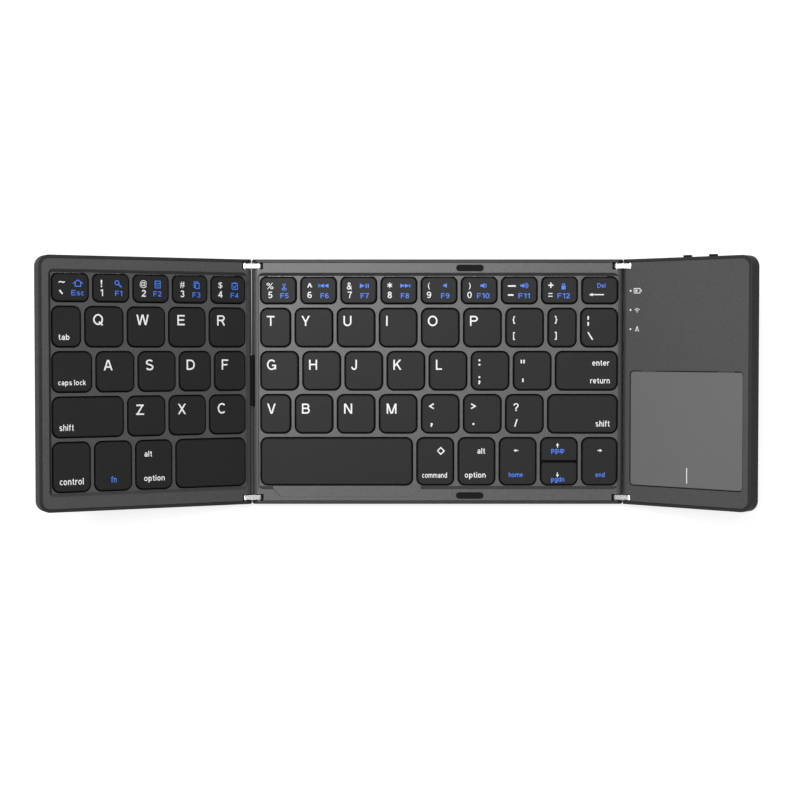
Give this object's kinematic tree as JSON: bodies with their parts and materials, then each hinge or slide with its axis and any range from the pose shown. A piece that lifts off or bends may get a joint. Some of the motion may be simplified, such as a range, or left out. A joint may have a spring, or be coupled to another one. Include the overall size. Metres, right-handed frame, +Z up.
{
  "type": "folding keyboard",
  "caption": "Three-panel folding keyboard with a touchpad wing, low square keys and link hinges, standing open with both wings raised.",
  "frame": {"origin": "middle of the standing footprint, on the plane that the centre panel's feet rest on", "axes": "+X right along the keyboard's length, +Y to the rear edge, +Z up"},
  "size_m": [0.276, 0.0989, 0.0466],
  "materials": {
    "case_plastic": "fine matte",
    "deck_plastic": "fine matte",
    "key_plastic": "matte",
    "plate_steel": "rolled sheet",
    "pin_steel": "turned",
    "link_metal": "polished",
    "dome_rubber": "silicone rubber",
    "foot_rubber": "soft matte",
    "touchpad_face": "very smooth matte",
    "circuit_board": "solder mask",
    "battery_foil": "laminated foil",
    "socket_steel": "stamped sheet",
    "light_pipe": "clear to white",
    "knob_plastic": "matte"
  },
  "bodies": {
    "centre_panel": {"centre_case": "case_plastic", "centre_deck": "deck_plastic", "centre_support_plate": "plate_steel", "centre_dome_sheet": "dome_rubber", "centre_bumpers": "foot_rubber", "centre_feet": "foot_rubber", "centre_screws": "pin_steel", "centre_hinge_pins": "pin_steel"},
    "left_link": {"left_hinge_links": "link_metal"},
    "left_wing": {"left_case": "case_plastic", "left_deck": "deck_plastic", "left_support_plate": "plate_steel", "left_dome_sheet": "dome_rubber", "left_feet": "foot_rubber", "left_screws": "pin_steel", "left_hinge_pins": "pin_steel", "left_cable_tube": "foot_rubber"},
    "right_link": {"right_hinge_links": "link_metal"},
    "right_wing": {"right_case": "case_plastic", "right_deck": "deck_plastic", "main_board": "circuit_board", "battery": "battery_foil", "charging_socket": "socket_steel", "indicator_lights": "light_pipe", "right_feet": "foot_rubber", "right_screws": "pin_steel", "right_hinge_pins": "pin_steel"},
    "touchpad": {"touchpad": "touchpad_face"},
    "power_switch": {"power_switch_knob": "knob_plastic"},
    "mode_switch": {"mode_switch_knob": "knob_plastic"},
    "number_keys_centre": {"number_keys_centre": "key_plastic"},
    "delete_key": {"delete_key": "key_plastic"},
    "upper_letter_keys_centre": {"upper_letter_keys_centre": "key_plastic"},
    "home_letter_keys_centre": {"home_letter_keys_centre": "key_plastic"},
    "enter_key": {"enter_key": "key_plastic"},
    "lower_letter_keys_centre": {"lower_letter_keys_centre": "key_plastic"},
    "right_shift_key": {"right_shift_key": "key_plastic"},
    "space_bar": {"space_bar": "key_plastic"},
    "command_key": {"command_key": "key_plastic"},
    "right_option_key": {"right_option_key": "key_plastic"},
    "arrow_left_key": {"arrow_left_key": "key_plastic"},
    "arrow_up_key": {"arrow_up_key": "key_plastic"},
    "arrow_down_key": {"arrow_down_key": "key_plastic"},
    "arrow_right_key": {"arrow_right_key": "key_plastic"},
    "escape_key": {"escape_key": "key_plastic"},
    "number_keys_left": {"number_keys_left": "key_plastic"},
    "tab_key": {"tab_key": "key_plastic"},
    "upper_letter_keys_left": {"upper_letter_keys_left": "key_plastic"},
    "caps_lock_key": {"caps_lock_key": "key_plastic"},
    "home_letter_keys_left": {"home_letter_keys_left": "key_plastic"},
    "left_shift_key": {"left_shift_key": "key_plastic"},
    "lower_letter_keys_left": {"lower_letter_keys_left": "key_plastic"},
    "control_key": {"control_key": "key_plastic"},
    "function_key": {"function_key": "key_plastic"},
    "left_option_key": {"left_option_key": "key_plastic"},
    "left_space_bar": {"left_space_bar": "key_plastic"}
  },
  "joints": [
    {"name": "left_inner_pivot", "type": "hinge", "parent": "centre_panel", "child": "left_link", "pos_m": [-0.05568, 0, 0.0048], "axis": [0, 1, 0], "range_deg": [-13.5, 76.5]},
    {"name": "left_outer_pivot", "type": "hinge", "parent": "left_link", "child": "left_wing", "pos_m": [-0.06112, 0, 0.00611], "axis": [0, 1, 0], "range_deg": [-13.5, 76.5]},
    {"name": "right_inner_pivot", "type": "hinge", "parent": "centre_panel", "child": "right_link", "pos_m": [0.08812, 0, 0.0048], "axis": [0, -1, 0], "range_deg": [-20.3, 69.7]},
    {"name": "right_outer_pivot", "type": "hinge", "parent": "right_link", "child": "right_wing", "pos_m": [0.09337, 0, 0.00674], "axis": [0, -1, 0], "range_deg": [-20.3, 69.7]},
    {"name": "touchpad_click", "type": "hinge", "parent": "right_wing", "child": "touchpad", "pos_m": [0.11317, 0.0051, 0.02437], "axis": [0.7593, 0, 0.6508], "range_deg": [0, 0.621], "stiffness_Nm_per_rad": 2, "springref_deg": -0.34},
    {"name": "power_switch_slide", "type": "slide", "parent": "right_wing", "child": "power_switch", "axis": [0.7593, 0, 0.6508], "range_m": [0, 0.002]},
    {"name": "mode_switch_slide", "type": "slide", "parent": "right_wing", "child": "mode_switch", "axis": [0.7593, 0, 0.6508], "range_m": [0, 0.002]},
    {"name": "number_keys_centre_press", "type": "slide", "parent": "centre_panel", "child": "number_keys_centre", "axis": [0, 0, -1], "range_m": [0, 0.0012], "stiffness_N_per_m": 3200, "springref_m": -0.0002, "deforming": ["centre_dome_sheet"]},
    {"name": "delete_key_press", "type": "slide", "parent": "centre_panel", "child": "delete_key", "axis": [0, 0, -1], "range_m": [0, 0.0012], "stiffness_N_per_m": 400, "springref_m": -0.0002, "deforming": ["centre_dome_sheet"]},
    {"name": "upper_letter_keys_centre_press", "type": "slide", "parent": "centre_panel", "child": "upper_letter_keys_centre", "axis": [0, 0, -1], "range_m": [0, 0.0012], "stiffness_N_per_m": 3600, "springref_m": -0.0002, "deforming": ["centre_dome_sheet"]},
    {"name": "home_letter_keys_centre_press", "type": "slide", "parent": "centre_panel", "child": "home_letter_keys_centre", "axis": [0, 0, -1], "range_m": [0, 0.0012], "stiffness_N_per_m": 2800, "springref_m": -0.0002, "deforming": ["centre_dome_sheet"]},
    {"name": "enter_key_press", "type": "slide", "parent": "centre_panel", "child": "enter_key", "axis": [0, 0, -1], "range_m": [0, 0.0012], "stiffness_N_per_m": 400, "springref_m": -0.0002, "deforming": ["centre_dome_sheet"]},
    {"name": "lower_letter_keys_centre_press", "type": "slide", "parent": "centre_panel", "child": "lower_letter_keys_centre", "axis": [0, 0, -1], "range_m": [0, 0.0012], "stiffness_N_per_m": 2800, "springref_m": -0.0002, "deforming": ["centre_dome_sheet"]},
    {"name": "right_shift_key_press", "type": "slide", "parent": "centre_panel", "child": "right_shift_key", "axis": [0, 0, -1], "range_m": [0, 0.0012], "stiffness_N_per_m": 400, "springref_m": -0.0002, "deforming": ["centre_dome_sheet"]},
    {"name": "space_bar_press", "type": "slide", "parent": "centre_panel", "child": "space_bar", "axis": [0, 0, -1], "range_m": [0, 0.0012], "stiffness_N_per_m": 400, "springref_m": -0.0002, "deforming": ["centre_dome_sheet"]},
    {"name": "command_key_press", "type": "slide", "parent": "centre_panel", "child": "command_key", "axis": [0, 0, -1], "range_m": [0, 0.0012], "stiffness_N_per_m": 400, "springref_m": -0.0002, "deforming": ["centre_dome_sheet"]},
    {"name": "right_option_key_press", "type": "slide", "parent": "centre_panel", "child": "right_option_key", "axis": [0, 0, -1], "range_m": [0, 0.0012], "stiffness_N_per_m": 400, "springref_m": -0.0002, "deforming": ["centre_dome_sheet"]},
    {"name": "arrow_left_key_press", "type": "slide", "parent": "centre_panel", "child": "arrow_left_key", "axis": [0, 0, -1], "range_m": [0, 0.0012], "stiffness_N_per_m": 400, "springref_m": -0.0002, "deforming": ["centre_dome_sheet"]},
    {"name": "arrow_up_key_press", "type": "slide", "parent": "centre_panel", "child": "arrow_up_key", "axis": [0, 0, -1], "range_m": [0, 0.0012], "stiffness_N_per_m": 400, "springref_m": -0.0002, "deforming": ["centre_dome_sheet"]},
    {"name": "arrow_down_key_press", "type": "slide", "parent": "centre_panel", "child": "arrow_down_key", "axis": [0, 0, -1], "range_m": [0, 0.0012], "stiffness_N_per_m": 400, "springref_m": -0.0002, "deforming": ["centre_dome_sheet"]},
    {"name": "arrow_right_key_press", "type": "slide", "parent": "centre_panel", "child": "arrow_right_key", "axis": [0, 0, -1], "range_m": [0, 0.0012], "stiffness_N_per_m": 400, "springref_m": -0.0002, "deforming": ["centre_dome_sheet"]},
    {"name": "escape_key_press", "type": "slide", "parent": "left_wing", "child": "escape_key", "axis": [-0.454, 0, -0.891], "range_m": [0, 0.0012], "stiffness_N_per_m": 400, "springref_m": -0.0002, "deforming": ["left_dome_sheet"]},
    {"name": "number_keys_left_press", "type": "slide", "parent": "left_wing", "child": "number_keys_left", "axis": [-0.454, 0, -0.891], "range_m": [0, 0.0012], "stiffness_N_per_m": 1600, "springref_m": -0.0002, "deforming": ["left_dome_sheet"]},
    {"name": "tab_key_press", "type": "slide", "parent": "left_wing", "child": "tab_key", "axis": [-0.454, 0, -0.891], "range_m": [0, 0.0012], "stiffness_N_per_m": 400, "springref_m": -0.0002, "deforming": ["left_dome_sheet"]},
    {"name": "upper_letter_keys_left_press", "type": "slide", "parent": "left_wing", "child": "upper_letter_keys_left", "axis": [-0.454, 0, -0.891], "range_m": [0, 0.0012], "stiffness_N_per_m": 1600, "springref_m": -0.0002, "deforming": ["left_dome_sheet"]},
    {"name": "caps_lock_key_press", "type": "slide", "parent": "left_wing", "child": "caps_lock_key", "axis": [-0.454, 0, -0.891], "range_m": [0, 0.0012], "stiffness_N_per_m": 400, "springref_m": -0.0002, "deforming": ["left_dome_sheet"]},
    {"name": "home_letter_keys_left_press", "type": "slide", "parent": "left_wing", "child": "home_letter_keys_left", "axis": [-0.454, 0, -0.891], "range_m": [0, 0.0012], "stiffness_N_per_m": 1600, "springref_m": -0.0002, "deforming": ["left_dome_sheet"]},
    {"name": "left_shift_key_press", "type": "slide", "parent": "left_wing", "child": "left_shift_key", "axis": [-0.454, 0, -0.891], "range_m": [0, 0.0012], "stiffness_N_per_m": 400, "springref_m": -0.0002, "deforming": ["left_dome_sheet"]},
    {"name": "lower_letter_keys_left_press", "type": "slide", "parent": "left_wing", "child": "lower_letter_keys_left", "axis": [-0.454, 0, -0.891], "range_m": [0, 0.0012], "stiffness_N_per_m": 1200, "springref_m": -0.0002, "deforming": ["left_dome_sheet"]},
    {"name": "control_key_press", "type": "slide", "parent": "left_wing", "child": "control_key", "axis": [-0.454, 0, -0.891], "range_m": [0, 0.0012], "stiffness_N_per_m": 400, "springref_m": -0.0002, "deforming": ["left_dome_sheet"]},
    {"name": "function_key_press", "type": "slide", "parent": "left_wing", "child": "function_key", "axis": [-0.454, 0, -0.891], "range_m": [0, 0.0012], "stiffness_N_per_m": 400, "springref_m": -0.0002, "deforming": ["left_dome_sheet"]},
    {"name": "left_option_key_press", "type": "slide", "parent": "left_wing", "child": "left_option_key", "axis": [-0.454, 0, -0.891], "range_m": [0, 0.0012], "stiffness_N_per_m": 400, "springref_m": -0.0002, "deforming": ["left_dome_sheet"]},
    {"name": "left_space_bar_press", "type": "slide", "parent": "left_wing", "child": "left_space_bar", "axis": [-0.454, 0, -0.891], "range_m": [0, 0.0012], "stiffness_N_per_m": 400, "springref_m": -0.0002, "deforming": ["left_dome_sheet"]}
  ],
  "couplings": [
    {"joint": "left_outer_pivot", "follows": "left_inner_pivot", "ratio": 1},
    {"joint": "right_outer_pivot", "follows": "right_inner_pivot", "ratio": 1}
  ]
}
